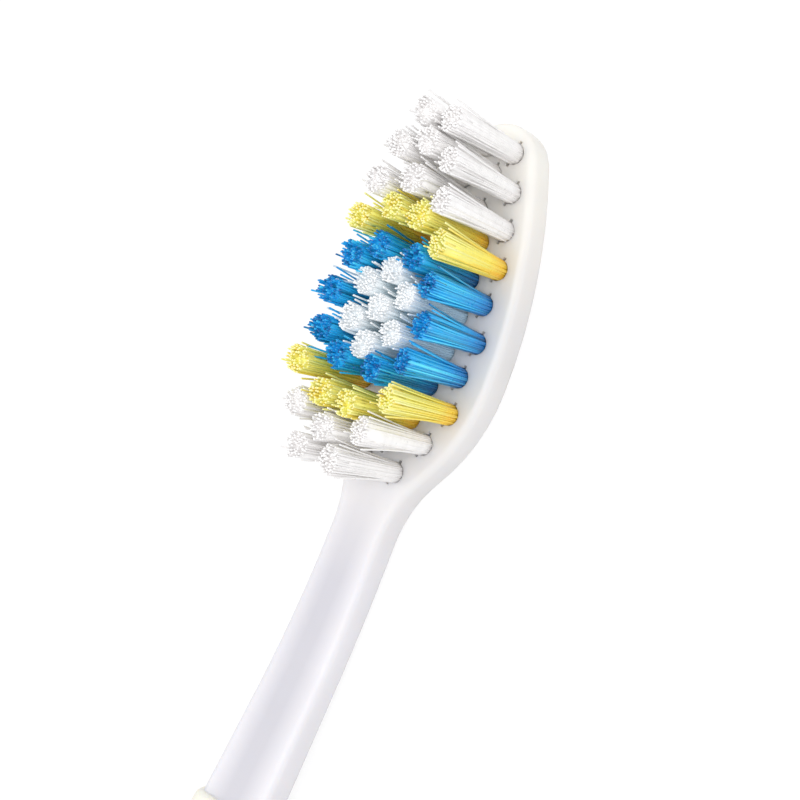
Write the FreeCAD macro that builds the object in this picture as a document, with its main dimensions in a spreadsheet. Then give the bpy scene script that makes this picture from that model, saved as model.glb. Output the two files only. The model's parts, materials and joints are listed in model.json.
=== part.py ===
import FreeCAD, Part
import math
import os

import Sketcher

# A manual toothbrush that lies on its back: X runs along the brush and ends at the tip of the head, Z is the
# way that the tufts point, Y is across. The origin is the middle of the brush on the surface that it rests on.

# Driving sizes in millimetres and degrees.
SIZES = [
    ("overall_length", 190.0, "tip of the head to the end of the butt"),
    ("head_width", 13.7, "widest part of the head"),
    ("head_thickness", 4.0, "face of the head to its back"),
    ("tip_radius", 3.3, "round of the outline at the tip"),
    ("shoulder_radius", 16.0, "outward curve where the head narrows to the neck"),
    ("throat_radius", 11.0, "inward curve where the head meets the neck"),
    ("rim_round", 0.7, "rounded edge between face and side"),
    ("back_round", 1.7, "rounded edge between side and back"),
    ("neck_root_width", 5.0, "neck at the head"),
    ("neck_end_width", 6.3, "neck at the grip"),
    ("neck_reach", 59.6, "tip of the head to the leading edge of the grip"),
    ("neck_embed", 3.0, "length of neck inside the grip"),
    ("face_run_out", 8.0, "flat face behind the first row of tufts"),
    ("face_sweep", 80.0, "radius of the bend from the face up to the neck"),
    ("face_angle", 9.5, "slope of the front of the neck"),
    ("back_run_out", 4.0, "flat back behind the first row of tufts"),
    ("back_sweep", 125.0, "radius of the bend from the back up to the neck"),
    ("back_angle", 6.9, "slope of the back of the neck"),
    ("half_pitch", 1.5, "step along the head between staggered rows of tufts"),
    ("tip_margin", 2.3, "centre of the last row to the tip"),
    ("hole_diameter", 1.75, "blind hole for a tuft"),
    ("hole_depth", 3.1, "depth of that hole"),
    ("tuft_clearance", 0.02, "play round the foot of a tuft"),
    ("tuft_top_diameter", 2.1, "spread of a tuft at its trimmed end"),
    ("cup_radius", 11.0, "hollow of the trim across the head, which slopes the ends of the outer tufts"),
    ("middle_lead", 0.9, "tuft on the centre line ahead of its pair, at the neck and at the tip"),
    ("anchor_length", 2.25, "anchor across the hole, biting into both sides"),
    ("anchor_height", 1.6, "anchor along the hole"),
    ("anchor_thickness", 0.25, "sheet of the anchor"),
    ("anchor_lift", 0.6, "folded filaments between the anchor and the floor of the hole"),
    ("anchor_angle", -12.0, "anchors turned off the length of the head"),
    ("trim_tip", 10.3, "white tufts at the tip stand above the face"),
    ("trim_yellow", 9.9, "yellow tufts"),
    ("trim_blue", 9.1, "ring of blue tufts"),
    ("trim_white", 8.6, "white tufts inside the ring"),
    ("trim_heel", 9.7, "white tufts at the neck"),
    ("span_heel", 3.2, "first row, tuft to tuft across the head"),
    ("span_heel_wide", 6.4, "second row"),
    ("span_yellow_heel", 2.5, "yellow inner pair at the neck"),
    ("span_yellow_low", 8.8, "yellow outer pair at the neck"),
    ("span_blue_heel", 3.4, "blue inner pair at the neck"),
    ("span_blue_low", 8.0, "blue outer pair"),
    ("span_white_low", 3.9, "white inner pair"),
    ("span_blue_wide", 8.8, "widest blue pair"),
    ("span_white_high", 3.8, "white inner pair towards the tip"),
    ("span_blue_high", 7.4, "blue outer pair towards the tip"),
    ("span_blue_tip", 3.3, "blue inner pair towards the tip"),
    ("span_yellow_high", 7.5, "yellow outer pair towards the tip"),
    ("span_yellow_tip", 2.5, "yellow inner pair towards the tip"),
    ("span_tip_wide", 6.1, "first white row of the tip"),
    ("span_tip", 4.7, "second white row of the tip"),
    ("span_tip_end", 2.5, "last white row of the tip"),
    ("grip_proud", 0.3, "grip above the plastic beside it"),
    ("grip_depth", 1.2, "grip sunk into the plastic"),
    ("collar_round", 0.8, "rounded leading edge of the grip"),
    ("butt_round", 2.6, "rounded end of the handle"),
    ("thumb_length", 58.0, "thumb grip along the handle"),
    ("thumb_edge_front", 3.6, "lower edge of the thumb grip at the neck, above the rest"),
    ("thumb_edge_rear", 6.6, "lower edge of the thumb grip at its rear, above the rest"),
    ("thumb_corner", 3.0, "rounded lower rear corner of the thumb grip"),
    ("back_grip_start", 20.0, "leading edge of the grip to the start of the back grip"),
    ("back_grip_length", 56.0, "back grip along the handle"),
    ("back_grip_edge", 3.2, "upper edge of the back grip, above the rest"),
    ("back_grip_corner", 2.5, "rounded corners of the back grip"),
    ("groove_radius", 1.3, "round bottom of a finger groove"),
    ("groove_depth", 0.55, "depth of a finger groove"),
    ("groove_pitch", 4.2, "step from groove to groove"),
    ("groove_start", 14.0, "leading edge of the grip to the first groove of the thumb"),
    ("back_groove_start", 30.0, "leading edge of the grip to the first groove of the back"),
]

# Cross sections of the handle behind the neck: distance from the leading edge of the grip (or from the butt,
# where the name says so), width, top and bottom above the rest, and corner radius.
SECTIONS = {
    "collar": (0.0, 7.0, 7.0, 1.75, 1.7),
    "thumb_rest": (14.0, 9.2, 9.0, 1.5, 2.6),
    "swell": (40.0, 12.6, 10.9, 1.2, 3.7),
    "waist": (45.0, 11.6, 9.5, 0.4, 3.5),
    "palm": (22.0, 11.0, 8.2, -0.15, 3.1),
    "butt": (0.0, 8.6, 7.2, -0.2, 3.0),
}
FROM_BUTT = ("waist", "palm", "butt")
THUMB_GROOVES = 7
BACK_GROOVES = 9

# Rows of tufts from the neck to the tip, a half pitch apart, with three places left empty. Each row has a pair of
# tufts, given by its span and its trim. Some have one more tuft on the centre line, given by its trim and by how far
# it stands from the pair towards the tip.
ROWS = [
    ("span_heel", "trim_heel"),
    (),
    ("span_heel_wide", "trim_heel", "trim_heel", "-Sizes.middle_lead"),
    ("span_yellow_heel", "trim_yellow"),
    ("span_yellow_low", "trim_yellow"),
    ("span_blue_heel", "trim_blue"),
    ("span_blue_low", "trim_blue", "trim_white", "0"),
    ("span_white_low", "trim_white"),
    ("span_blue_wide", "trim_blue", "trim_white", "0"),
    ("span_white_high", "trim_white"),
    ("span_blue_high", "trim_blue", "trim_white", "0"),
    ("span_blue_tip", "trim_blue"),
    ("span_yellow_high", "trim_yellow"),
    ("span_yellow_tip", "trim_yellow"),
    ("span_tip_wide", "trim_tip", "trim_tip", "Sizes.middle_lead"),
    (),
    ("span_tip", "trim_tip", "trim_tip", "Sizes.middle_lead"),
    (),
    ("span_tip_end", "trim_tip"),
]
FIRST_ROW = ROWS[0]
WIDEST_ROW = ROWS[6]

TIP_X = "(Sizes.overall_length / 2)"
GRIP_X = "(Sizes.overall_length / 2 - Sizes.neck_reach)"

doc = FreeCAD.newDocument("toothbrush")
sheet = doc.addObject("Spreadsheet::Sheet", "Sizes")


def fill_sheet():
    lines = list(SIZES)
    for name, values in SECTIONS.items():
        words = ("station", "width", "top", "bottom", "corner")
        lines += [(f"{name}_{word}", value, f"{name} section") for word, value in zip(words, values)]
    for line, (alias, value, meaning) in enumerate(lines, start=1):
        sheet.set(f"A{line}", meaning)
        sheet.set(f"B{line}", str(value))
        sheet.setAlias(f"B{line}", alias)
    doc.recompute()


def size(alias):
    return float(sheet.get(alias))


def steps_to_tip(row):
    """Half pitches from one row of tufts to the last."""
    return len(ROWS) - 1 - ROWS.index(row)


def row_at(row):
    return size("overall_length") / 2 - size("tip_margin") - steps_to_tip(row) * size("half_pitch")


def row_x(row):
    """The same place as an expression."""
    return f"({TIP_X} - Sizes.tip_margin - {steps_to_tip(row)} * Sizes.half_pitch)"


def bind(thing, **expressions):
    for path, expression in expressions.items():
        thing.setExpression(path.replace("__", "."), expression)


def new_sketch(body, name, role, offset=None):
    sketch = body.newObject("Sketcher::SketchObject", name)
    plane = next(feature for feature in body.Origin.OriginFeatures if feature.Role == role)
    sketch.AttachmentSupport = [(plane, "")]
    sketch.MapMode = "FlatFace"
    if offset:
        sketch.setExpression("AttachmentOffset.Base.z", offset)
    return sketch


def fix(sketch, name, expression, kind, *where):
    """Add one dimension to a sketch and bind it to the sheet."""
    index = sketch.addConstraint(Sketcher.Constraint(kind, *where))
    sketch.renameConstraint(index, name)
    sketch.setExpression(f"Constraints.{name}", expression)


def join(sketch, kind, *pairs):
    for pair in pairs:
        sketch.addConstraint(Sketcher.Constraint(kind, *pair))


def line(start, end):
    return Part.LineSegment(FreeCAD.Vector(*start, 0), FreeCAD.Vector(*end, 0))


def arc(centre, radius, start_angle, end_angle):
    circle = Part.Circle(FreeCAD.Vector(*centre, 0), FreeCAD.Vector(0, 0, 1), radius)
    return Part.ArcOfCircle(circle, math.radians(start_angle), math.radians(end_angle))


def head_outline(body):
    """Plan of head and neck: tip, two long sides, shoulders, throats and the straight neck, all tangent."""
    half = size("head_width") / 2
    tip = size("overall_length") / 2
    widest = row_at(WIDEST_ROW)
    neck_end = tip - size("neck_reach") - size("neck_embed")
    root = size("neck_root_width") / 2
    end = size("neck_end_width") / 2
    nose = size("tip_radius")
    shoulder = size("shoulder_radius")
    throat = size("throat_radius")
    reach = tip - nose - widest
    side = (reach ** 2 + half ** 2 - nose ** 2) / (2 * (half - nose))
    lean = math.degrees(math.atan2(reach, side - half))
    rise = root + throat - half + shoulder
    turn = math.degrees(math.acos(rise / (shoulder + throat)))
    root_x = widest - (shoulder + throat) * math.sin(math.radians(turn))
    sketch = new_sketch(body, "head_outline", "XY_Plane")
    sketch.addGeometry([
        arc((tip - nose, 0), nose, lean - 90, 90 - lean),
        arc((widest, half - side), side, 90 - lean, 90),
        arc((widest, half - shoulder), shoulder, 90, 90 + turn),
        arc((root_x, root + throat), throat, 270, 270 + turn),
        line((root_x, root), (neck_end, end)),
        line((neck_end, end), (neck_end, -end)),
        line((neck_end, -end), (root_x, -root)),
        arc((root_x, -root - throat), throat, 90 - turn, 90),
        arc((widest, shoulder - half), shoulder, 270 - turn, 270),
        arc((widest, side - half), side, 270, 270 + lean),
    ], False)
    join(sketch, "Tangent", (0, 2, 1, 1), (1, 2, 2, 1), (2, 2, 3, 2), (3, 1, 4, 1))
    join(sketch, "Tangent", (6, 2, 7, 2), (7, 1, 8, 1), (8, 2, 9, 1), (9, 2, 0, 1))
    join(sketch, "Coincident", (4, 2, 5, 1), (5, 2, 6, 1))
    join(sketch, "PointOnObject", (0, 3, -1))
    join(sketch, "Symmetric", (5, 1, 5, 2, -1), (1, 2, 8, 2, -1))
    join(sketch, "Equal", (1, 9), (2, 8), (3, 7))
    fix(sketch, "tip_round", "Sizes.tip_radius", "Radius", 0, nose)
    fix(sketch, "shoulder", "Sizes.shoulder_radius", "Radius", 2, shoulder)
    fix(sketch, "throat", "Sizes.throat_radius", "Radius", 3, throat)
    fix(sketch, "tip_centre", f"{TIP_X} - Sizes.tip_radius", "DistanceX", -1, 1, 0, 3, tip - nose)
    fix(sketch, "widest_row", row_x(WIDEST_ROW), "DistanceX", -1, 1, 1, 2, widest)
    fix(sketch, "half_width", "Sizes.head_width / 2", "DistanceY", -1, 1, 1, 2, half)
    fix(sketch, "side_centre", row_x(WIDEST_ROW), "DistanceX", -1, 1, 1, 3, widest)
    fix(sketch, "neck_end", f"{GRIP_X} - Sizes.neck_embed", "DistanceX", -1, 1, 5, 1, neck_end)
    fix(sketch, "neck_end_width", "Sizes.neck_end_width", "DistanceY", 5, 2, 5, 1, 2 * end)
    fix(sketch, "neck_root_left", "Sizes.neck_root_width / 2", "DistanceY", -1, 1, 4, 1, root)
    fix(sketch, "neck_root_right", "Sizes.neck_root_width / 2", "DistanceY", 6, 2, -1, 1, root)
    return sketch


def sweep_cut(body, name, run_out, radius, angle, level, far_level):
    """Side view of what is taken away in front of the face or behind the back, level at the head and then bent."""
    tip = size("overall_length") / 2 + size("tip_margin")
    bend_x = row_at(FIRST_ROW) - size(run_out)
    bend = size(radius)
    slope = size(angle)
    turned_x = bend_x - bend * math.sin(math.radians(slope))
    turned_z = level + bend * (1 - math.cos(math.radians(slope)))
    end_x = size("overall_length") / 2 - size("neck_reach") - size("neck_embed") - size("tip_margin")
    end_z = turned_z + (turned_x - end_x) * math.tan(math.radians(slope))
    sketch = new_sketch(body, name, "XZ_Plane")
    sketch.addGeometry([
        line((tip, level), (bend_x, level)),
        arc((bend_x, level + bend), bend, 270 - slope, 270),
        line((turned_x, turned_z), (end_x, end_z)),
        line((end_x, end_z), (end_x, far_level)),
        line((end_x, far_level), (tip, far_level)),
        line((tip, far_level), (tip, level)),
    ], False)
    join(sketch, "Tangent", (0, 2, 1, 2), (1, 1, 2, 1))
    join(sketch, "Coincident", (2, 2, 3, 1), (3, 2, 4, 1), (4, 2, 5, 1), (5, 2, 0, 1))
    join(sketch, "Horizontal", (0,), (4,))
    join(sketch, "Vertical", (3,), (5,))
    bend_start = f"{row_x(FIRST_ROW)} - Sizes.{run_out}"
    fix(sketch, "bend_start", bend_start, "DistanceX", -1, 1, 0, 2, bend_x)
    fix(sketch, "bend_radius", f"Sizes.{radius}", "Radius", 1, bend)
    fix(sketch, "slope", f"Sizes.{angle} * 1 deg", "Angle", 1, math.radians(slope))
    end = f"{GRIP_X} - Sizes.neck_embed - Sizes.tip_margin"
    fix(sketch, "rear", end, "DistanceX", -1, 1, 3, 2, end_x)
    fix(sketch, "front", f"{TIP_X} + Sizes.tip_margin", "DistanceX", -1, 1, 5, 1, tip)
    return sketch


def through_pocket(body, name, sketch):
    before = body.Shape.Volume
    pocket = body.newObject("PartDesign::Pocket", name)
    pocket.Profile = sketch
    pocket.SideType = "Symmetric"
    pocket.Type = "ThroughAll"
    doc.recompute()
    if pocket.Shape.Volume >= before:
        raise RuntimeError(f"{name} cut nothing")
    return pocket


def rim_edges(shape, upward):
    """Edges between the standing side wall and the face (or the back) of the head and neck."""
    names = []
    for number, edge in enumerate(shape.Edges, start=1):
        middle = edge.valueAt((edge.FirstParameter + edge.LastParameter) / 2)
        leans = []
        for face in shape.ancestorsOfType(edge, Part.Face):
            leans.append(face.normalAt(*face.Surface.parameter(middle)))
        side = [normal for normal in leans if abs(normal.z) < 0.05 and normal.x > -0.9]
        flat = [normal for normal in leans if normal.z * upward > 0.9]
        if side and flat:
            names.append(f"Edge{number}")
    return names


def round_edges(body, name, base, edges, radius):
    fillet = body.newObject("PartDesign::Fillet", name)
    fillet.Base = (base, edges)
    bind(fillet, Radius=radius)
    doc.recompute()
    return fillet


def head_and_neck():
    body = doc.addObject("PartDesign::Body", "head_and_neck")
    pad = body.newObject("PartDesign::Pad", "blank")
    pad.Profile = head_outline(body)
    bind(pad, Length="4 * Sizes.head_thickness")
    doc.recompute()
    thickness = size("head_thickness")
    over = sweep_cut(body, "front_view", "face_run_out", "face_sweep", "face_angle", thickness, 5 * thickness)
    fix(over, "face", "Sizes.head_thickness", "DistanceY", -1, 1, 0, 2, thickness)
    fix(over, "over", "5 * Sizes.head_thickness", "DistanceY", -1, 1, 4, 1, 5 * thickness)
    doc.recompute()
    through_pocket(body, "face_and_neck_front", over)
    under = sweep_cut(body, "rear_view", "back_run_out", "back_sweep", "back_angle", 0, -thickness)
    join(under, "PointOnObject", (0, 2, -1))
    fix(under, "under", "Sizes.head_thickness", "DistanceY", 4, 1, -1, 1, thickness)
    doc.recompute()
    back = through_pocket(body, "neck_back", under)
    rim = round_edges(body, "rim", back, rim_edges(back.Shape, 1), "Sizes.rim_round")
    round_edges(body, "back_edge", rim, rim_edges(rim.Shape, -1), "Sizes.back_round")
    return body


def section(body, name, grow, station):
    """Rounded cross section of the handle, grown or shrunk by a named size."""
    half = f"(Sizes.{name}_width / 2 + {grow})"
    top = f"(Sizes.{name}_top + {grow})"
    bottom = f"(Sizes.{name}_bottom - {grow})"
    corner = f"(Sizes.{name}_corner + {grow})"
    w = size(f"{name}_width") / 2
    t = size(f"{name}_top")
    b = size(f"{name}_bottom")
    r = size(f"{name}_corner")
    sketch = new_sketch(body, f"{name}_section", "YZ_Plane", station)
    sketch.addGeometry([
        line((r - w, b), (w - r, b)),
        arc((w - r, b + r), r, 270, 360),
        line((w, b + r), (w, t - r)),
        arc((w - r, t - r), r, 0, 90),
        line((w - r, t), (r - w, t)),
        arc((r - w, t - r), r, 90, 180),
        line((-w, t - r), (-w, b + r)),
        arc((r - w, b + r), r, 180, 270),
    ], False)
    join(sketch, "Tangent", *((i, 2, (i + 1) % 8, 1) for i in range(8)))
    join(sketch, "Horizontal", (0,), (4,))
    join(sketch, "Vertical", (2,), (6,))
    join(sketch, "Equal", (1, 3), (3, 5), (5, 7))
    fix(sketch, "corner", corner, "Radius", 1, r)
    fix(sketch, "right", half, "DistanceX", -1, 1, 2, 1, w)
    fix(sketch, "left", half, "DistanceX", 6, 1, -1, 1, w)
    fix(sketch, "top", top, "DistanceY", -1, 1, 4, 1, t)
    fix(sketch, "bottom", f"{top} - {bottom}", "DistanceY", 0, 1, 4, 2, t - b)
    return sketch


def station_x(name):
    if name in FROM_BUTT:
        return f"Sizes.{name}_station - Sizes.overall_length / 2"
    return f"{GRIP_X} - Sizes.{name}_station"


def handle_form(label, names, grow, set_back):
    """Loft through the cross sections, for the handle itself, for the grips' outside or for the core inside them."""
    body = doc.addObject("PartDesign::Body", label)
    sketches = []
    for name in names:
        place = station_x(name)
        sketches.append(section(body, name, grow, f"{place} - {set_back}" if name == names[0] else place))
    doc.recompute()
    loft = body.newObject("PartDesign::AdditiveLoft", f"{label}_loft")
    loft.Profile = sketches[0]
    loft.Sections = sketches[1:]
    loft.Ruled = False
    doc.recompute()
    return body, loft


def end_edges(shape, x):
    names = []
    for number, edge in enumerate(shape.Edges, start=1):
        if all(abs(vertex.X - x) < 1e-4 for vertex in edge.Vertexes):
            names.append(f"Edge{number}")
    return names


def thumb_region():
    """Side view of the thumb grip: everything above a sloping edge that turns up at the rear."""
    body = doc.addObject("PartDesign::Body", "thumb_region")
    sketch = new_sketch(body, "thumb_side_view", "XZ_Plane")
    lead = size("overall_length") / 2 - size("neck_reach") + size("neck_embed")
    rear = size("overall_length") / 2 - size("neck_reach") - size("thumb_length")
    front_z = size("thumb_edge_front")
    rear_z = size("thumb_edge_rear")
    corner = size("thumb_corner")
    high = size("swell_top") + size("head_thickness")
    sketch.addGeometry([
        line((lead, front_z), (rear + corner, rear_z)),
        arc((rear + corner, rear_z + corner), corner, 180, 270),
        line((rear, rear_z + corner), (rear, high)),
        line((rear, high), (lead, high)),
        line((lead, high), (lead, front_z)),
    ], False)
    join(sketch, "Tangent", (0, 2, 1, 2), (1, 1, 2, 1))
    join(sketch, "Coincident", (2, 2, 3, 1), (3, 2, 4, 1), (4, 2, 0, 1))
    join(sketch, "Horizontal", (3,))
    join(sketch, "Vertical", (2,), (4,))
    fix(sketch, "lead", f"{GRIP_X} + Sizes.neck_embed", "DistanceX", -1, 1, 4, 1, lead)
    fix(sketch, "length", "Sizes.thumb_length + Sizes.neck_embed", "DistanceX", 2, 2, 3, 2, lead - rear)
    fix(sketch, "front_edge", "Sizes.thumb_edge_front", "DistanceY", -1, 1, 0, 1, front_z)
    fix(sketch, "rear_edge", "Sizes.thumb_edge_rear", "DistanceY", -1, 1, 0, 2, rear_z)
    fix(sketch, "corner", "Sizes.thumb_corner", "Radius", 1, corner)
    fix(sketch, "high", "Sizes.swell_top + Sizes.head_thickness", "DistanceY", -1, 1, 3, 1, high)
    pad = body.newObject("PartDesign::Pad", "thumb_slab")
    pad.Profile = sketch
    pad.SideType = "Symmetric"
    bind(pad, Length="2 * Sizes.swell_width")
    doc.recompute()
    return body


def back_region():
    """Side view of the back grip: a slab below a level edge with rounded corners."""
    body = doc.addObject("PartDesign::Body", "back_region")
    sketch = new_sketch(body, "back_side_view", "XZ_Plane")
    lead = size("overall_length") / 2 - size("neck_reach") - size("back_grip_start")
    rear = lead - size("back_grip_length")
    edge = size("back_grip_edge")
    corner = size("back_grip_corner")
    low = size("head_thickness")
    sketch.addGeometry([
        line((lead, -low), (lead, edge - corner)),
        arc((lead - corner, edge - corner), corner, 0, 90),
        line((lead - corner, edge), (rear + corner, edge)),
        arc((rear + corner, edge - corner), corner, 90, 180),
        line((rear, edge - corner), (rear, -low)),
        line((rear, -low), (lead, -low)),
    ], False)
    join(sketch, "Tangent", (0, 2, 1, 1), (1, 2, 2, 1), (2, 2, 3, 1), (3, 2, 4, 1))
    join(sketch, "Coincident", (4, 2, 5, 1), (5, 2, 0, 1))
    join(sketch, "Horizontal", (2,), (5,))
    join(sketch, "Vertical", (0,), (4,))
    join(sketch, "Equal", (1, 3))
    place = f"{GRIP_X} - Sizes.back_grip_start"
    fix(sketch, "length", "Sizes.back_grip_length", "DistanceX", 5, 1, 5, 2, lead - rear)
    if lead > 0:
        fix(sketch, "lead", place, "DistanceX", -1, 1, 0, 1, lead)
    else:
        fix(sketch, "lead", f"-({place})", "DistanceX", 0, 1, -1, 1, -lead)
    fix(sketch, "edge", "Sizes.back_grip_edge", "DistanceY", -1, 1, 2, 1, edge)
    fix(sketch, "corner", "Sizes.back_grip_corner", "Radius", 1, corner)
    fix(sketch, "low", "Sizes.head_thickness", "DistanceY", 5, 1, -1, 1, low)
    pad = body.newObject("PartDesign::Pad", "back_slab")
    pad.Profile = sketch
    pad.SideType = "Symmetric"
    bind(pad, Length="2 * Sizes.swell_width")
    doc.recompute()
    return body


def rest_trim():
    """Slab under the surface that the brush rests on, which cuts the flat on the back of the handle."""
    slab = doc.addObject("Part::Box", "rest_trim")
    bind(
        slab,
        Length="2 * Sizes.overall_length",
        Width="4 * Sizes.swell_width",
        Height="Sizes.head_thickness",
        Placement__Base__x="-Sizes.overall_length",
        Placement__Base__y="-2 * Sizes.swell_width",
        Placement__Base__z="-Sizes.head_thickness",
    )
    return slab


def combine(kind, label, base, tool):
    result = doc.addObject(kind, label)
    if kind == "Part::Cut":
        result.Base = base
        result.Tool = tool
    else:
        result.Shapes = [base, tool]
    doc.recompute()
    return result


def group(label, members):
    compound = doc.addObject("Part::Compound", label)
    compound.Links = members
    doc.recompute()
    return compound


def surface_level(shape, x, upward):
    """Height of the middle of a surface at one place along the handle."""
    reach = size("overall_length")
    probe = Part.makeLine(FreeCAD.Vector(x, 0, -reach), FreeCAD.Vector(x, 0, reach))
    heights = [vertex.Z for vertex in shape.common(probe).Vertexes]
    return max(heights) if upward else min(heights)


def finger_grooves(label, form, count, start, upward):
    """Round grooves across a grip, each sunk to the same depth in the curved surface."""
    members = []
    for number in range(count):
        step = f"Sizes.{start} + {number} * Sizes.groove_pitch"
        x = size("overall_length") / 2 - size("neck_reach") - size(start) - number * size("groove_pitch")
        level = surface_level(form.Shape, x, upward)
        lift = (size("groove_radius") - size("groove_depth")) * (1 if upward else -1)
        rod = doc.addObject("Part::Cylinder", f"{label}_{number + 1}")
        across = FreeCAD.Rotation(FreeCAD.Vector(1, 0, 0), -90)
        rod.Placement = FreeCAD.Placement(FreeCAD.Vector(x, 0, level + lift), across)
        bind(
            rod,
            Radius="Sizes.groove_radius",
            Height="2 * Sizes.swell_width",
            Placement__Base__x=f"{GRIP_X} - ({step})",
            Placement__Base__y="-Sizes.swell_width",
        )
        members.append(rod)
    return group(label, members)


def tuft_places():
    """Label, place along and across the head, trim and slope of the end of every tuft."""
    places = []
    rows = [row for row in ROWS if row]
    for number, row in enumerate(rows, start=1):
        span, trim = row[:2]
        x = row_x(row)
        for side, sign in (("left", ""), ("right", "-")):
            y = f"{sign}Sizes.{span} / 2"
            places.append((f"tuft_{number:02d}_{side}", x, y, trim, f"{y} / Sizes.cup_radius"))
        for middle_trim, lead in zip(row[2::2], row[3::2]):
            places.append((f"tuft_{number:02d}_middle", f"{x} + {lead}", "0", middle_trim, None))
    return places


def set_in_head(thing, x, y, z):
    bind(thing, Placement__Base__x=x, Placement__Base__y=y, Placement__Base__z=z)


def tuft(label, x, y, trim, slope):
    """Bundle of filaments: a foot in its hole, a spreading stem, a trimmed end and the slot of its anchor."""
    body = doc.addObject("PartDesign::Body", label)
    foot = size("hole_diameter") / 2 - size("tuft_clearance")
    depth = size("hole_depth") - size("tuft_clearance")
    high = size(trim) + (size("tuft_top_diameter") if slope else 0)
    out = foot + (size("tuft_top_diameter") / 2 - foot) * high / size(trim)
    corners = [(0, -depth), (foot, -depth), (foot, 0), (out, high), (0, high)]
    sketch = new_sketch(body, f"{label}_profile", "XZ_Plane")
    sketch.addGeometry([line(a, b) for a, b in zip(corners, corners[1:] + corners[:1])], False)
    join(sketch, "Coincident", *((i, 2, (i + 1) % 5, 1) for i in range(5)))
    join(sketch, "Horizontal", (0,), (3,))
    join(sketch, "Vertical", (1,))
    join(sketch, "PointOnObject", (0, 1, -2), (4, 1, -2), (1, 2, -1))
    foot_radius = "(Sizes.hole_diameter / 2 - Sizes.tuft_clearance)"
    end = f"(Sizes.{trim} + Sizes.tuft_top_diameter)" if slope else f"Sizes.{trim}"
    spread = f"{foot_radius} + (Sizes.tuft_top_diameter / 2 - {foot_radius}) * {end} / Sizes.{trim}"
    fix(sketch, "foot", foot_radius, "DistanceX", -1, 1, 1, 2, foot)
    fix(sketch, "depth", "Sizes.hole_depth - Sizes.tuft_clearance", "DistanceY", 0, 1, -1, 1, depth)
    fix(sketch, "spread", spread, "DistanceX", -1, 1, 2, 2, out)
    fix(sketch, "end", end, "DistanceY", -1, 1, 4, 1, high)
    turned = body.newObject("PartDesign::Revolution", f"{label}_bundle")
    turned.Profile = sketch
    turned.ReferenceAxis = (sketch, ["V_Axis"])
    turned.Angle = 360
    doc.recompute()
    through_pocket(body, f"{label}_slot", slot_view(body, label))
    if slope:
        through_pocket(body, f"{label}_trim", trim_view(body, label, trim, slope))
    set_in_head(body, x, y, "Sizes.head_thickness")
    return body


def slot_view(body, label):
    """Outline of the anchor in its tuft, seen along the anchor."""
    thick = size("anchor_thickness")
    low = size("hole_depth") - size("anchor_lift")
    tall = size("anchor_height")
    slot = new_sketch(body, f"{label}_slot_view", "YZ_Plane")
    turn = FreeCAD.Rotation(FreeCAD.Vector(0, 1, 0), size("anchor_angle"))
    slot.AttachmentOffset = FreeCAD.Placement(FreeCAD.Vector(0, 0, 0), turn)
    slot.addGeometry([
        line((-thick / 2, -low), (thick / 2, -low)),
        line((thick / 2, -low), (thick / 2, tall - low)),
        line((thick / 2, tall - low), (-thick / 2, tall - low)),
        line((-thick / 2, tall - low), (-thick / 2, -low)),
    ], False)
    join(slot, "Coincident", *((i, 2, (i + 1) % 4, 1) for i in range(4)))
    join(slot, "Horizontal", (2,))
    join(slot, "Vertical", (1,), (3,))
    join(slot, "Symmetric", (0, 1, 0, 2, -2))
    fix(slot, "sheet", "Sizes.anchor_thickness", "DistanceX", 0, 1, 0, 2, thick)
    fix(slot, "height", "Sizes.anchor_height", "DistanceY", 1, 1, 1, 2, tall)
    fix(slot, "depth", "Sizes.hole_depth - Sizes.anchor_lift", "DistanceY", 0, 1, -1, 1, low)
    return slot


def trim_view(body, label, trim, slope):
    """What the trimming takes off an outer tuft, seen along the brush: its end rises towards the side of the head."""
    wide = size("tuft_top_diameter")
    high = size(trim)
    sketch = new_sketch(body, f"{label}_trim_view", "YZ_Plane")
    sketch.addGeometry([
        line((-wide, high), (wide, high)),
        line((wide, high), (wide, high + 2 * wide)),
        line((wide, high + 2 * wide), (-wide, high + 2 * wide)),
        line((-wide, high + 2 * wide), (-wide, high)),
    ], False)
    join(sketch, "Coincident", *((i, 2, (i + 1) % 4, 1) for i in range(4)))
    join(sketch, "Horizontal", (2,))
    join(sketch, "Vertical", (1,), (3,))
    rise = f"Sizes.tuft_top_diameter * {slope}"
    fix(sketch, "right", "Sizes.tuft_top_diameter", "DistanceX", 0, 1, -1, 1, wide)
    fix(sketch, "left", "Sizes.tuft_top_diameter", "DistanceX", -1, 1, 0, 2, wide)
    fix(sketch, "right_end", f"Sizes.{trim} - ({rise})", "DistanceY", -1, 1, 0, 1, high)
    fix(sketch, "left_end", f"Sizes.{trim} + {rise}", "DistanceY", -1, 1, 0, 2, high)
    fix(sketch, "over", f"Sizes.{trim} + 2 * Sizes.tuft_top_diameter", "DistanceY", -1, 1, 2, 1, high + 2 * wide)
    return sketch


def hole(label, x, y):
    """Blind hole for a tuft."""
    bore = doc.addObject("Part::Cylinder", f"{label}_hole")
    bind(
        bore,
        Radius="Sizes.hole_diameter / 2",
        Height="Sizes.hole_depth + Sizes.head_thickness",
    )
    set_in_head(bore, x, y, "Sizes.head_thickness - Sizes.hole_depth")
    return bore


def sheet_piece(label, x, y, height, z):
    """Thin upright plate across a hole: an anchor, or the slit that it cuts on its way in."""
    plate = doc.addObject("Part::Box", label)
    turn = "Sizes.anchor_angle * 1 deg"
    back = f"(Sizes.anchor_length / 2 * cos({turn}) - Sizes.anchor_thickness / 2 * sin({turn}))"
    aside = f"(Sizes.anchor_length / 2 * sin({turn}) + Sizes.anchor_thickness / 2 * cos({turn}))"
    bind(plate, Length="Sizes.anchor_length", Width="Sizes.anchor_thickness", Height=height)
    plate.Placement.Rotation = FreeCAD.Rotation(FreeCAD.Vector(0, 0, 1), size("anchor_angle"))
    set_in_head(plate, f"{x} - {back}", f"{y} - {aside}", z)
    return plate


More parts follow.
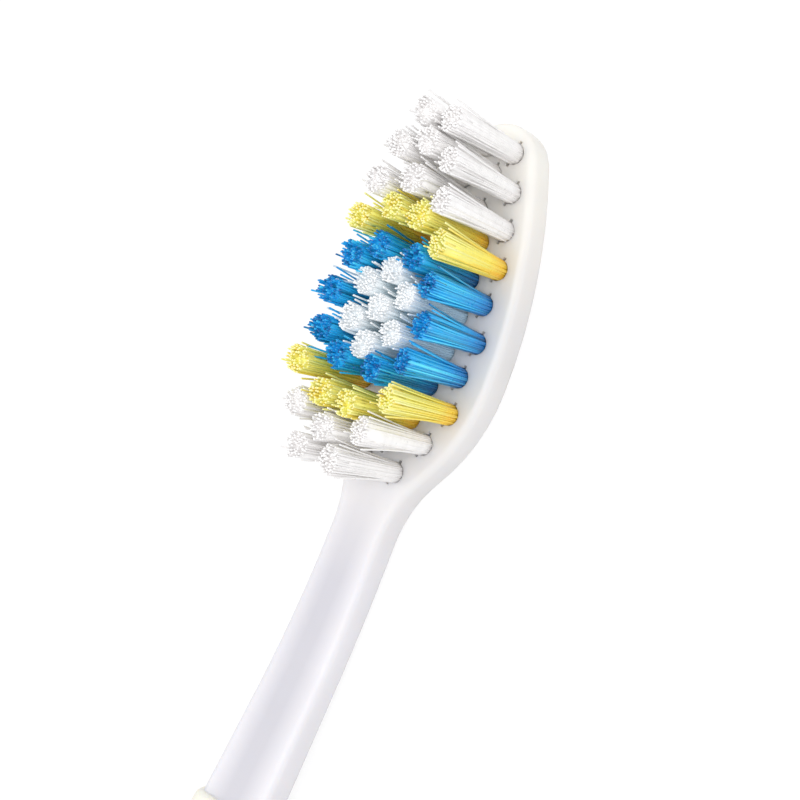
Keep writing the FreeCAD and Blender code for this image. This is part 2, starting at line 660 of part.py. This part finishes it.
def check_and_write(pieces):
    for thing in doc.Objects:
        if "Invalid" in thing.State or "Error" in thing.State:
            raise RuntimeError(f"{thing.Label} failed: {thing.State}")
    for piece in pieces:
        if piece.Shape.isNull() or not piece.Shape.isValid():
            raise RuntimeError(f"{piece.Label} has no valid shape")
    os.makedirs("parts", exist_ok=True)
    for piece in pieces:
        piece.Shape.exportStep(os.path.join("parts", f"{piece.Label}.step"))


fill_sheet()

# Handle: head and neck, the core inside the grips, and the outside of the handle where no grip covers it.
neck = head_and_neck()
outside, outside_loft = handle_form("outside", list(SECTIONS), "0", "0")
butt_x = -size("overall_length") / 2
grip_x = size("overall_length") / 2 - size("neck_reach")
lead_round = round_edges(
    outside, "lead_round", outside_loft, end_edges(outside_loft.Shape, grip_x), "Sizes.collar_round"
)
round_edges(outside, "butt_round", lead_round, end_edges(lead_round.Shape, butt_x), "Sizes.butt_round")
GRIP_SECTIONS = [name for name in SECTIONS if name != "butt"]
core, core_loft = handle_form("core", GRIP_SECTIONS, "-Sizes.grip_depth", "Sizes.grip_depth")
soft, soft_loft = handle_form("soft_outside", GRIP_SECTIONS, "Sizes.grip_proud", "-Sizes.grip_proud")
soft_lead = grip_x + size("grip_proud")
round_edges(soft, "soft_lead_round", soft_loft, end_edges(soft_loft.Shape, soft_lead), "Sizes.collar_round")

thumb_space = thumb_region()
back_space = back_region()
removed = group("grip_spaces", [thumb_space, back_space, rest_trim()])
shell = combine("Part::Cut", "handle_shell", outside, removed)
moulding = doc.addObject("Part::MultiFuse", "moulding")
moulding.Shapes = [neck, core, shell]
doc.recompute()

# Tufted head: a hole and a slit for every tuft, the tuft itself and its anchor.
tufts = []
cutters = []
anchors = []
for label, x, y, trim, slope in tuft_places():
    tufts.append(tuft(label, x, y, trim, slope))
    cutters.append(hole(label, x, y))
    floor = "Sizes.head_thickness - Sizes.hole_depth + Sizes.anchor_lift"
    mouth = "Sizes.hole_depth - Sizes.anchor_lift + Sizes.head_thickness"
    cutters.append(sheet_piece(f"{label}_slit", x, y, mouth, floor))
    anchors.append(sheet_piece(f"{label}_anchor", x, y, "Sizes.anchor_height", floor))
doc.recompute()
anchor_staples = group("anchor_staples", anchors)
handle = combine("Part::Cut", "handle", moulding, group("tuft_seats", cutters))

# Grips: the part of the soft outside in each grip's space, less the plastic below it and the grooves.
thumb_blank = combine("Part::MultiCommon", "thumb_blank", soft, thumb_space)
thumb_seated = combine("Part::Cut", "thumb_seated", thumb_blank, moulding)
thumb_grooves = finger_grooves("thumb_groove", soft, THUMB_GROOVES, "groove_start", True)
thumb_grip = combine("Part::Cut", "thumb_grip", thumb_seated, thumb_grooves)
back_blank = combine("Part::MultiCommon", "back_blank", soft, back_space)
back_seated = combine("Part::Cut", "back_seated", back_blank, moulding)
back_grooves = finger_grooves("back_groove", soft, BACK_GROOVES, "back_groove_start", False)
back_grip = combine("Part::Cut", "back_grip", back_seated, back_grooves)

check_and_write([handle, thumb_grip, back_grip, anchor_staples] + tufts)
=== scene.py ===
import json
import math
import random

import bpy
from mathutils import Matrix, Vector


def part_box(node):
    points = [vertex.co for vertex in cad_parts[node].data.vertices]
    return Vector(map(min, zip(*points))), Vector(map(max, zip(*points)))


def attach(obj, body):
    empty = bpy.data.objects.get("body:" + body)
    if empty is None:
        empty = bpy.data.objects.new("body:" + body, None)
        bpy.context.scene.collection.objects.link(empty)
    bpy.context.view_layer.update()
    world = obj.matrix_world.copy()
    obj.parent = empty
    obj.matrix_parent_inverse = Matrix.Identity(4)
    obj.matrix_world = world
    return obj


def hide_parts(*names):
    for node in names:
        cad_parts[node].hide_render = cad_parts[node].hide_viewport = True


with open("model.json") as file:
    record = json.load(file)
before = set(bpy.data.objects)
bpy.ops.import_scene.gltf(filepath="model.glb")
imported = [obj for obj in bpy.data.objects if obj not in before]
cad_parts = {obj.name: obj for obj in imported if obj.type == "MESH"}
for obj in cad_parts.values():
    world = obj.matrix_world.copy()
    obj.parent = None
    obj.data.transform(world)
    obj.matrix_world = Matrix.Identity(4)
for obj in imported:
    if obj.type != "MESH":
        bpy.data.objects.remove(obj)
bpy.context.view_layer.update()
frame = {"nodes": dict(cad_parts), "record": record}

MM = 0.001
HEAD_FACE = 4.0 * MM

# A tuft: its foot in the hole, its crown as a share of the solid's, and how it spreads between them
ROOT_DEPTH = 1.2 * MM
ROOT_RADIUS = 0.79 * MM
CROWN_SHARE = 0.95
FLARE = 1.25

# Its outer ring of whole filaments, a few of which stray
OUTER = 32
OUTER_JITTER = 0.25
OUTER_SHARE = (0.92, 1.02)
OUTER_REACH = (0.92, 1.06)
STRAYS = 3
STRAY_REACH = (1.25, 1.7)
FILAMENT_RADIUS = 0.08 * MM
SPANS = 5

# The ends of the filaments inside that ring
INNER = 46
INNER_JITTER = 0.2
INNER_SHARE = 0.9
INNER_SHOWN = 1.8 * MM
END_RADIUS = 0.1 * MM
INNER_SPANS = 2
GOLDEN_ANGLE = math.pi * (3 - math.sqrt(5))

# One filament: its sides, its own turn, sway and cut, and its rounded end in radii
SIDES = 5
TURN = 0.07
SWAY = 0.04 * MM
SWAY_WAVES = 1.3
CUT_SHORT = 0.14 * MM
CUT_SHORT_MOST = 0.26 * MM
ROUND_FROM = 1.1
ROUND_MIDDLE = 0.35
ROUND_WIDTH = 0.8
APEX_END = 0.75
PALE_UNEVEN = 0.7

# The heart: its width, how far it stays below the ends, and its tone
CORE_SHARE = 0.94
CORE_DROP = 0.86 * MM
PALE_CORE_SHARE = 0.99
PALE_CORE_DROP = 0.6 * MM
CORE_SIDES = 18
CORE_SPANS = 4
CORE_TONE = 0.5

# How the ends are cut, and how they gather in clumps
CUP_RADIUS = 6.8 * MM
FAR_CUP_RADIUS = 11.0 * MM
CLUMPS = 6
CLUMP_OUT = (0.3, 0.9)
CLUMP_DROP = 0.42 * MM
CLUMP_LEAN = 0.16 * MM
CLUMP_LEAN_SHARE = (-0.3, 1.0)

# White tufts in the blue field, painted with a reflection of blue light from their neighbours that
# deepens towards the foot
WHITE_IN_BLUE_LIGHT = (
    "tuft_06_middle",
    "tuft_07_left",
    "tuft_07_right",
    "tuft_08_middle",
    "tuft_09_left",
    "tuft_09_right",
    "tuft_10_middle",
)

# Tufts with filaments that lean far out: towards which angle, and how far in crowns
LOOSE_SPREAD = 0.22
LOOSE_SHARE = (0.7, 1.0)
LOOSE = {
    "tuft_05_left": (1.8, 3.4),
    "tuft_06_middle": (1.5, 2.6),
    "tuft_07_left": (1.4, 2.8),
    "tuft_08_middle": (1.7, 2.6),
    "tuft_09_left": (1.6, 3.4),
    "tuft_11_left": (1.2, 3.4),
}

# Where the mouldings change colour, along the brush and out from its middle. The tip takes a cream
# tint with painted light, and the middle of the neck a band of painted shade
TIP_TINT_AND_LIGHT = (80.0 * MM, 93.0 * MM)
NECK_TO_HEAD = (56.0 * MM, 66.0 * MM)
NECK_FADE = (-20.0 * MM, 30.0 * MM)
NECK_SHADE_BAND = (0.6 * MM, 2.4 * MM)
GRIP_LIP = (32.2 * MM, 34.3 * MM)

# Shading of the mouldings: corners this close are one, and edges sharper than this stay sharp
WELD_WITHIN = 0.002 * MM
SHARP_EDGE = math.radians(32)

# The middle of what a noise gives, and the share of their end that the palest filaments show
NOISE_CORE = (0.3, 0.7)
PALE_END_SHARE = 0.3

# Floor and light
FLOOR_HALF = 3.0
FLOOR_BOUNCE = 0.8
PAPER_SHADE = 0.24
PAPER_GLOW = 0.8
SKY_TINT = (0.97, 0.98, 1.0)
SKY_STRENGTH = 0.77

# Camera
LENS = 70.01
SENSOR = 36.0
CLIP_START = 5.0 * MM
CAMERA_PLACE = (0.080271, -0.067398, 0.108989)
CAMERA_RIGHT = Vector((0.36130, -0.76894, -0.52744))
CAMERA_UP = Vector((0.92964, 0.34095, 0.13975))
CAMERA_BACK = Vector((0.07237, -0.54082, 0.83802))

# Sockets of a Mix node that mixes colours
MIX_FIRST = 6
MIX_SECOND = 7
MIX_RESULT = 2

SLOT_OF = {part["node"]: part["material_slot"] for part in frame["record"]["subparts"]}
scene = bpy.context.scene


def colour(red, green, blue):
    """Linear colour of an sRGB one given in 0 to 255."""
    linear = []
    for value in (red, green, blue):
        share = value / 255
        linear.append(share / 12.92 if share <= 0.04045 else ((share + 0.055) / 1.055) ** 2.4)
    return (*linear, 1.0)


# Small helpers for node trees

def new_material(name):
    material = bpy.data.materials.new(name)
    material.use_nodes = True
    tree = material.node_tree
    tree.nodes.clear()
    output = tree.nodes.new("ShaderNodeOutputMaterial")
    surface = tree.nodes.new("ShaderNodeBsdfPrincipled")
    tree.links.new(surface.outputs["BSDF"], output.inputs["Surface"])
    return material, tree, surface


def put(tree, value, socket):
    """Sets a socket to a plain value, or links another node's output to it."""
    if isinstance(value, bpy.types.NodeSocket):
        tree.links.new(value, socket)
    else:
        socket.default_value = value


def mix(tree, factor, first, second, kind="MIX"):
    node = tree.nodes.new("ShaderNodeMix")
    node.data_type = "RGBA"
    node.blend_type = kind
    put(tree, factor, node.inputs["Factor"])
    put(tree, first, node.inputs[MIX_FIRST])
    put(tree, second, node.inputs[MIX_SECOND])
    return node.outputs[MIX_RESULT]


def reckon(tree, operation, *values):
    """Result of one Math node."""
    node = tree.nodes.new("ShaderNodeMath")
    node.operation = operation
    for value, socket in zip(values, node.inputs):
        put(tree, value, socket)
    return node.outputs[0]


def ramp(tree, factor, stops):
    node = tree.nodes.new("ShaderNodeValToRGB")
    elements = node.color_ramp.elements
    while len(elements) < len(stops):
        elements.new(0.5)
    for element, (place, shade) in zip(elements, stops):
        element.position = place
        element.color = shade
    put(tree, factor, node.inputs["Fac"])
    return node.outputs["Color"]


def spread(tree, value, low, high, to_low, to_high):
    """Maps a range of values to another, held at its ends."""
    node = tree.nodes.new("ShaderNodeMapRange")
    put(tree, value, node.inputs["Value"])
    node.inputs["From Min"].default_value = low
    node.inputs["From Max"].default_value = high
    node.inputs["To Min"].default_value = to_low
    node.inputs["To Max"].default_value = to_high
    return node.outputs["Result"]


def object_place(tree):
    return tree.nodes.new("ShaderNodeTexCoord").outputs["Object"]


def brush_axes(tree):
    """Places along, across and up the brush, by the names X, Y and Z."""
    split = tree.nodes.new("ShaderNodeSeparateXYZ")
    tree.links.new(object_place(tree), split.inputs["Vector"])
    return split.outputs


def noise(tree, scale, detail=3.0, roughness=0.5):
    node = tree.nodes.new("ShaderNodeTexNoise")
    tree.links.new(object_place(tree), node.inputs["Vector"])
    node.inputs["Scale"].default_value = scale
    node.inputs["Detail"].default_value = detail
    node.inputs["Roughness"].default_value = roughness
    return node.outputs["Fac"]


def wander(tree, scale, low, high, detail=3.0, roughness=0.5, core=NOISE_CORE):
    """A value that drifts between two ends over the surface."""
    return spread(tree, noise(tree, scale, detail, roughness), *core, low, high)


def bump(tree, surface, height, strength, distance):
    node = tree.nodes.new("ShaderNodeBump")
    node.inputs["Strength"].default_value = strength
    node.inputs["Distance"].default_value = distance
    tree.links.new(height, node.inputs["Height"])
    tree.links.new(node.outputs["Normal"], surface.inputs["Normal"])


def soft_inside(surface, weight, radius):
    """Light that enters a pale translucent plastic and leaves it close by."""
    surface.inputs["Subsurface Weight"].default_value = weight
    surface.inputs["Subsurface Radius"].default_value = radius
    surface.inputs["Subsurface Scale"].default_value = 1.0


# Materials

def nylon(name, colour_and_shade_along, tone_stops, tip, tip_share):
    """Filaments: colour along their length, with painted shade or reflection where a material's
    stops carry it, a tone of their own, and the look of their ends.
    """
    material, tree, surface = new_material(name)
    strand = tree.nodes.new("ShaderNodeAttribute")
    strand.attribute_name = "strand"
    split = tree.nodes.new("ShaderNodeSeparateColor")
    tree.links.new(strand.outputs["Color"], split.inputs["Color"])
    body = ramp(tree, split.outputs["Red"], colour_and_shade_along)
    tone = ramp(tree, split.outputs["Green"], tone_stops)
    mottle = wander(tree, 1400.0, 0.95, 1.03)
    toned = mix(tree, 1.0, body, tone, "MULTIPLY")
    mottled = mix(tree, 1.0, toned, mottle, "MULTIPLY")
    palest = tip_share * PALE_END_SHARE
    by_tone = spread(tree, split.outputs["Green"], 0.0, 1.0, tip_share, palest)
    share = reckon(tree, "MULTIPLY", split.outputs["Blue"], by_tone)
    ended = mix(tree, share, mottled, tip)
    tree.links.new(ended, surface.inputs["Base Color"])
    put(tree, wander(tree, 3000.0, 0.26, 0.42), surface.inputs["Roughness"])
    bump(tree, surface, noise(tree, 5200.0, 2.0), strength=0.12, distance=0.02 * MM)
    return material


def moulded_plastic(name):
    """White moulding: a cream tint and painted light at the tip, and a cool painted shade along the
    middle of the neck.
    """
    material, tree, surface = new_material(name)
    cloud = wander(tree, 120.0, 0.97, 1.0, detail=4.0, core=(0.35, 0.65))
    axes = brush_axes(tree)
    along = axes["X"]
    # Painted light and a cream tint towards the tip
    tip = spread(tree, along, *TIP_TINT_AND_LIGHT, 0.0, 1.0)
    head = mix(tree, tip, colour(230, 227, 226), colour(252, 245, 235))
    # Painted shade down the middle of the neck, lifted towards its edges and on the handle behind
    # it
    edge = spread(tree, reckon(tree, "ABSOLUTE", axes["Y"]), *NECK_SHADE_BAND, 0.0, 1.0)
    behind = spread(tree, along, *NECK_FADE, 1.0, 0.0)
    pale = reckon(tree, "MAXIMUM", edge, behind)
    neck = mix(tree, pale, colour(206, 204, 210), colour(228, 226, 230))
    body = mix(tree, spread(tree, along, *NECK_TO_HEAD, 0.0, 1.0), neck, head)
    tree.links.new(mix(tree, 1.0, body, cloud, "MULTIPLY"), surface.inputs["Base Color"])
    put(tree, wander(tree, 900.0, 0.4, 0.52), surface.inputs["Roughness"])
    bump(tree, surface, noise(tree, 3800.0, 3.0, 0.6), strength=0.1, distance=0.03 * MM)
    soft_inside(surface, weight=0.5, radius=(2.2 * MM, 1.9 * MM, 1.6 * MM))
    return material


def soft_moulding(name):
    """Yellow elastomer: satin, stippled, a little cloudy, with a pale lip at its leading edge."""
    material, tree, surface = new_material(name)
    cloud = wander(tree, 180.0, 0.0, 1.0, detail=5.0, roughness=0.6, core=(0.35, 0.68))
    body = mix(tree, cloud, colour(243, 198, 48), colour(236, 186, 34))
    lip = spread(tree, brush_axes(tree)["X"], *GRIP_LIP, 0.0, 1.0)
    tree.links.new(mix(tree, lip, body, colour(246, 242, 229)), surface.inputs["Base Color"])
    put(tree, wander(tree, 700.0, 0.45, 0.62, detail=4.0), surface.inputs["Roughness"])
    bump(tree, surface, noise(tree, 5000.0, 4.0, 0.65), strength=0.3, distance=0.05 * MM)
    soft_inside(surface, weight=0.15, radius=(1.5 * MM, 1.0 * MM, 0.4 * MM))
    return material


def stamped_metal(name):
    """Sheet metal of the anchors, with a fine grain."""
    material, tree, surface = new_material(name)
    grain = wander(tree, 2500.0, 0.0, 1.0, detail=4.0)
    brass = mix(tree, grain, colour(214, 186, 120), colour(190, 160, 98))
    tree.links.new(brass, surface.inputs["Base Color"])
    surface.inputs["Metallic"].default_value = 1.0
    put(tree, spread(tree, grain, 0.0, 1.0, 0.28, 0.4), surface.inputs["Roughness"])
    return material


def plain(shade):
    """A grey of one level."""
    return (shade, shade, shade, 1.0)


MATERIALS = {
    "white_plastic": moulded_plastic("white_moulding"),
    "yellow_elastomer": soft_moulding("yellow_grip"),
    "anchor_metal": stamped_metal("anchor_sheet"),
    "blue_nylon": nylon(
        "blue_filaments",
        # Deeper towards the foot: painted shade where the tufts crowd the head's face
        [
            (0.0, colour(12, 92, 170)),
            (0.1, colour(24, 138, 212)),
            (0.25, colour(32, 168, 236)),
            (0.55, colour(46, 196, 250)),
            (0.8, colour(48, 200, 254)),
            (1.0, colour(42, 184, 250)),
        ],
        [(0.0, plain(0.36)), (0.35, plain(0.86)), (0.75, plain(1.05)), (1.0, (3.6, 1.5, 1.1, 1.0))],
        colour(16, 62, 156),
        0.88,
    ),
    "yellow_nylon": nylon(
        "yellow_filaments",
        # Deeper and more orange towards the foot: painted shade
        [
            (0.0, colour(255, 206, 48)),
            (0.3, colour(255, 238, 94)),
            (0.7, colour(255, 247, 124)),
            (1.0, colour(255, 251, 148)),
        ],
        [(0.0, (1.0, 0.84, 0.5, 1.0)), (0.45, plain(1.0)), (1.0, (1.0, 1.03, 1.5, 1.0))],
        colour(255, 248, 196),
        0.8,
    ),
    "white_nylon": nylon(
        "white_filaments",
        [
            (0.0, colour(250, 248, 247)),
            (0.4, colour(252, 250, 248)),
            (1.0, colour(253, 251, 250)),
        ],
        [(0.0, (0.94, 0.93, 0.93, 1.0)), (0.4, plain(1.0)), (1.0, plain(1.0))],
        colour(254, 253, 252),
        0.8,
    ),
    "white_nylon_blue_lit": nylon(
        "white_filaments_blue_lit",
        # Pale blue deepening towards the foot: painted reflection of the blue tufts around
        [
            (0.0, colour(206, 238, 255)),
            (0.5, colour(220, 245, 255)),
            (0.85, colour(244, 251, 254)),
            (1.0, colour(252, 253, 254)),
        ],
        [(0.0, (0.92, 0.95, 0.97, 1.0)), (0.4, plain(1.0)), (1.0, plain(1.0))],
        colour(252, 252, 252),
        0.8,
    ),
}


# Tufts

def trimmed(high, crown, middle, across):
    """Height of the ends: level in the far rows, and in the near rows falling to the middle."""
    if middle > 0:
        return high - crown * middle / FAR_CUP_RADIUS
    return high - (crown + max(-crown, min(crown, across))) * -middle / CUP_RADIUS


def clumps(rng, crown):
    """Places in a tuft's end round which filaments gather, each with its own drop and lean."""
    places = []
    for number in range(CLUMPS):
        angle = (number + rng.random()) * math.tau / CLUMPS
        out = crown * rng.uniform(*CLUMP_OUT)
        drop = rng.uniform(0.0, CLUMP_DROP)
        lean = rng.uniform(*CLUMP_LEAN_SHARE) * CLUMP_LEAN
        places.append((out * math.cos(angle), out * math.sin(angle), drop, lean))
    return places


def gathered(places, reach, angle):
    """Drop and lean of the clump that is nearest to one filament."""
    x = reach * math.cos(angle)
    y = reach * math.sin(angle)
    nearest = min(places, key=lambda place: (place[0] - x) ** 2 + (place[1] - y) ** 2)
    return nearest[2], nearest[3]


def filament_line(rng, share, angle, reach, low, high, spans, uneven):
    """Points along one filament, from root to end: upright in the hole, then leaning outwards."""
    root = ROOT_RADIUS * share
    turn = rng.gauss(0, TURN)
    sway = rng.gauss(0, SWAY)
    phase = rng.uniform(0, math.tau)
    top = high - min(CUT_SHORT_MOST, abs(rng.gauss(0, CUT_SHORT))) * uneven
    points = []
    for step in range(spans + 1):
        z = low + (top - low) * step / spans
        free = max(0.0, (z - HEAD_FACE) / (top - HEAD_FACE))
        out = root + (reach - root) * free ** FLARE
        bend = sway * math.sin(math.pi * free * SWAY_WAVES + phase) * free
        heading = angle + turn * free
        points.append(Vector((
            out * math.cos(heading) - bend * math.sin(angle),
            out * math.sin(heading) + bend * math.cos(angle),
            z,
        )))
    return points


class Strands:
    """Mesh lists of one tuft: corners, faces, and each corner's share of height, tone and end."""

    def __init__(self, centre):
        self.centre = centre
        self.verts = []
        self.faces = []
        self.paint = []

    def corner(self, place, high, tone, end):
        self.verts.append((self.centre[0] + place[0], self.centre[1] + place[1], place[2]))
        rise = max(0.0, (place[2] - HEAD_FACE) / (high - HEAD_FACE))
        self.paint.append((rise, tone, end, 1.0))

    def band(self, low, sides):
        """Faces between one ring of corners and the next."""
        above = low + sides
        for side in range(sides):
            after = (side + 1) % sides
            self.faces.append((low + side, low + after, above + after, above + side))

    def lathe(self, rings, sides, tip, high, tone):
        """Closed form through rings of (middle, radius, end), up to one last point."""
        start = len(self.verts)
        for middle, radius, end in rings:
            for side in range(sides):
                angle = math.tau * side / sides
                across = Vector((radius * math.cos(angle), radius * math.sin(angle), 0.0))
                self.corner(middle + across, high, tone, end)
        self.corner(tip, high, tone, rings[-1][2] * APEX_END)
        apex = len(self.verts) - 1
        for ring in range(len(rings) - 1):
            self.band(start + ring * sides, sides)
        last = apex - sides
        for side in range(sides):
            self.faces.append((last + side, last + (side + 1) % sides, apex))
        self.faces.append(tuple(start + side for side in reversed(range(sides))))

    def filament(self, points, thick, tone):
        """One filament with a rounded end."""
        heading = (points[-1] - points[-2]).normalized()
        rings = [(point, thick, 0.0) for point in points[:-1]]
        rings.append((points[-1] - heading * thick * ROUND_FROM, thick, 0.0))
        rings.append((points[-1] - heading * thick * ROUND_MIDDLE, thick * ROUND_WIDTH, 1.0))
        self.lathe(rings, SIDES, points[-1], points[-1].z, tone)

    def heart(self, crown, high, share, drop):
        """The dense middle of the bundle, where filaments lie close, up to its own cut top."""
        start = len(self.verts)
        bottom = HEAD_FACE - ROOT_DEPTH
        for step in range(CORE_SPANS + 1):
            free = step / CORE_SPANS
            radius = share * (ROOT_RADIUS + (crown - ROOT_RADIUS) * free ** FLARE)
            for side in range(CORE_SIDES):
                angle = math.tau * side / CORE_SIDES
                across = radius * math.sin(angle)
                top = trimmed(high, crown, self.centre[1], across) - drop
                place = (radius * math.cos(angle), across, bottom + (top - bottom) * free)
                self.corner(place, high, CORE_TONE, 0.0)
        for ring in range(CORE_SPANS):
            self.band(start + ring * CORE_SIDES, CORE_SIDES)
        top = start + CORE_SPANS * CORE_SIDES
        self.faces.append(tuple(top + side for side in range(CORE_SIDES)))
        self.faces.append(tuple(start + side for side in reversed(range(CORE_SIDES))))


def tuft(node):
    """One bundle of filaments in the place of a tuft's solid."""
    low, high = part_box(node)
    crown = CROWN_SHARE * (high.x - low.x) / 2
    root = HEAD_FACE - ROOT_DEPTH
    rng = random.Random(node)
    strands = Strands(((low.x + high.x) / 2, (low.y + high.y) / 2))
    pale = SLOT_OF[node] == "white_nylon"
    uneven = PALE_UNEVEN if pale else 1.0
    if pale:
        strands.heart(crown, high.z, PALE_CORE_SHARE, PALE_CORE_DROP)
    else:
        strands.heart(crown, high.z, CORE_SHARE, CORE_DROP)
    places = clumps(rng, crown)
    for number in range(OUTER):
        angle = math.tau * (number + rng.uniform(-OUTER_JITTER, OUTER_JITTER)) / OUTER
        share = rng.uniform(*OUTER_SHARE)
        drop, lean = gathered(places, crown * share, angle)
        reach = crown * share * rng.uniform(*OUTER_REACH) + lean
        if number % (OUTER // STRAYS) == 0:
            reach = crown * rng.uniform(*STRAY_REACH)
        if node in LOOSE and abs(angle - LOOSE[node][0]) < LOOSE_SPREAD:
            reach = crown * rng.uniform(*LOOSE_SHARE) * LOOSE[node][1]
        cut = trimmed(high.z, crown, strands.centre[1], reach * math.sin(angle))
        end = cut - drop * uneven
        line = filament_line(rng, share, angle, reach, root, end, SPANS, uneven)
        strands.filament(line, FILAMENT_RADIUS, rng.random())
    for number in range(INNER):
        share = INNER_SHARE * math.sqrt((number + 0.5) / INNER)
        angle = number * GOLDEN_ANGLE + rng.uniform(-INNER_JITTER, INNER_JITTER)
        drop, lean = gathered(places, crown * share, angle)
        cut = trimmed(high.z, crown, strands.centre[1], crown * share * math.sin(angle))
        end = cut - drop * uneven
        reach = crown * share + lean
        start = end - INNER_SHOWN
        line = filament_line(rng, share, angle, reach, start, end, INNER_SPANS, uneven)
        strands.filament(line, END_RADIUS, rng.random())
    show(node, strands)


def show(node, strands):
    """Makes a tuft's mesh and puts it in the place of the solid."""
    mesh = bpy.data.meshes.new(node.replace("tuft", "bristles"))
    mesh.from_pydata(strands.verts, [], strands.faces)
    strand = mesh.color_attributes.new("strand", "FLOAT_COLOR", "POINT")
    strand.data.foreach_set("color", [value for shade in strands.paint for value in shade])
    mesh.shade_smooth()
    mesh.materials.append(MATERIALS["white_nylon_blue_lit" if node in WHITE_IN_BLUE_LIGHT else SLOT_OF[node]])
    piece = bpy.data.objects.new(mesh.name, mesh)
    scene.collection.objects.link(piece)
    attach(piece, "root")
    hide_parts(node)


for node in sorted(frame["nodes"]):
    if node.startswith("tuft"):
        tuft(node)


# Moulded pieces keep their own shape

for node in ("handle", "thumb_grip", "back_grip", "anchor_staples"):
    piece = frame["nodes"][node]
    piece.data.materials.clear()
    piece.data.materials.append(MATERIALS[SLOT_OF[node]])
    for face in piece.data.polygons:
        face.use_smooth = True
    weld = piece.modifiers.new("weld", "WELD")
    weld.merge_threshold = WELD_WITHIN
    crease = piece.modifiers.new("crease", "EDGE_SPLIT")
    crease.split_angle = SHARP_EDGE


# Floor, light and camera

def seen_directly(tree):
    """1 for rays from the camera, a mirror or glass, 0 for light that only bounces."""
    path = tree.nodes.new("ShaderNodeLightPath")
    total = path.outputs["Is Camera Ray"]
    for name in ("Is Glossy Ray", "Is Transmission Ray"):
        total = reckon(tree, "MAXIMUM", total, path.outputs[name])
    return total


def lit_or_seen(tree, output, lit, seen):
    """Shows one shader to rays that see it, and lights the object with another."""
    choose = tree.nodes.new("ShaderNodeMixShader")
    tree.links.new(seen_directly(tree), choose.inputs[0])
    tree.links.new(lit.outputs[0], choose.inputs[1])
    tree.links.new(seen.outputs[0], choose.inputs[2])
    tree.links.new(choose.outputs[0], output.inputs["Surface"])


def floor_material():
    """White paper that takes a faint shadow, and bounces a plain light."""
    material = bpy.data.materials.new("studio_floor")
    material.use_nodes = True
    tree = material.node_tree
    tree.nodes.clear()
    output = tree.nodes.new("ShaderNodeOutputMaterial")
    bounce = tree.nodes.new("ShaderNodeBsdfDiffuse")
    bounce.inputs["Color"].default_value = plain(FLOOR_BOUNCE)
    shade = tree.nodes.new("ShaderNodeBsdfDiffuse")
    shade.inputs["Color"].default_value = plain(PAPER_SHADE)
    glow = tree.nodes.new("ShaderNodeEmission")
    glow.inputs["Color"].default_value = plain(PAPER_GLOW)
    glow.inputs["Strength"].default_value = 1.0
    paper = tree.nodes.new("ShaderNodeAddShader")
    tree.links.new(shade.outputs[0], paper.inputs[0])
    tree.links.new(glow.outputs[0], paper.inputs[1])
    lit_or_seen(tree, output, bounce, paper)
    return material


def floor():
    signs = ((-1, -1), (1, -1), (1, 1), (-1, 1))
    mesh = bpy.data.meshes.new("floor")
    mesh.from_pydata([(FLOOR_HALF * x, FLOOR_HALF * y, 0) for x, y in signs], [], [(0, 1, 2, 3)])
    mesh.materials.append(floor_material())
    piece = bpy.data.objects.new("floor", mesh)
    scene.collection.objects.link(piece)


def surroundings():
    world = bpy.data.worlds.new("studio")
    world.use_nodes = True
    tree = world.node_tree
    tree.nodes.clear()
    output = tree.nodes.new("ShaderNodeOutputWorld")
    light = tree.nodes.new("ShaderNodeBackground")
    light.inputs["Color"].default_value = (*SKY_TINT, 1.0)
    light.inputs["Strength"].default_value = SKY_STRENGTH
    white = tree.nodes.new("ShaderNodeBackground")
    white.inputs["Color"].default_value = plain(1.0)
    white.inputs["Strength"].default_value = 1.0
    lit_or_seen(tree, output, light, white)
    scene.world = world


def lamp(name, place, target, wide, watts, tint=(1.0, 1.0, 1.0)):
    light = bpy.data.lights.new(name, "AREA")
    light.shape = "SQUARE"
    light.size = wide
    light.energy = watts
    light.color = tint
    piece = bpy.data.objects.new(name, light)
    away = Vector(target) - Vector(place)
    piece.rotation_euler = away.to_track_quat("-Z", "Y").to_euler()
    piece.location = place
    scene.collection.objects.link(piece)


def camera():
    lens = bpy.data.cameras.new("camera")
    lens.sensor_fit = "HORIZONTAL"
    lens.sensor_width = SENSOR
    lens.lens = LENS
    lens.clip_start = CLIP_START
    piece = bpy.data.objects.new("camera", lens)
    turn = Matrix((CAMERA_RIGHT, CAMERA_UP, CAMERA_BACK)).transposed()
    piece.matrix_world = Matrix.Translation(CAMERA_PLACE) @ turn.to_4x4()
    scene.collection.objects.link(piece)
    scene.camera = piece


floor()
surroundings()
lamp("key", place=(0.107, -0.36, 0.6), target=(0.057, 0.0, 0.0), wide=0.3, watts=1.9)
lamp("fill", place=(0.0, 0.4, 0.55), target=(0.06, 0.0, 0.0), wide=0.5, watts=0.92, tint=SKY_TINT)
camera()

scene.view_settings.view_transform = "Standard"
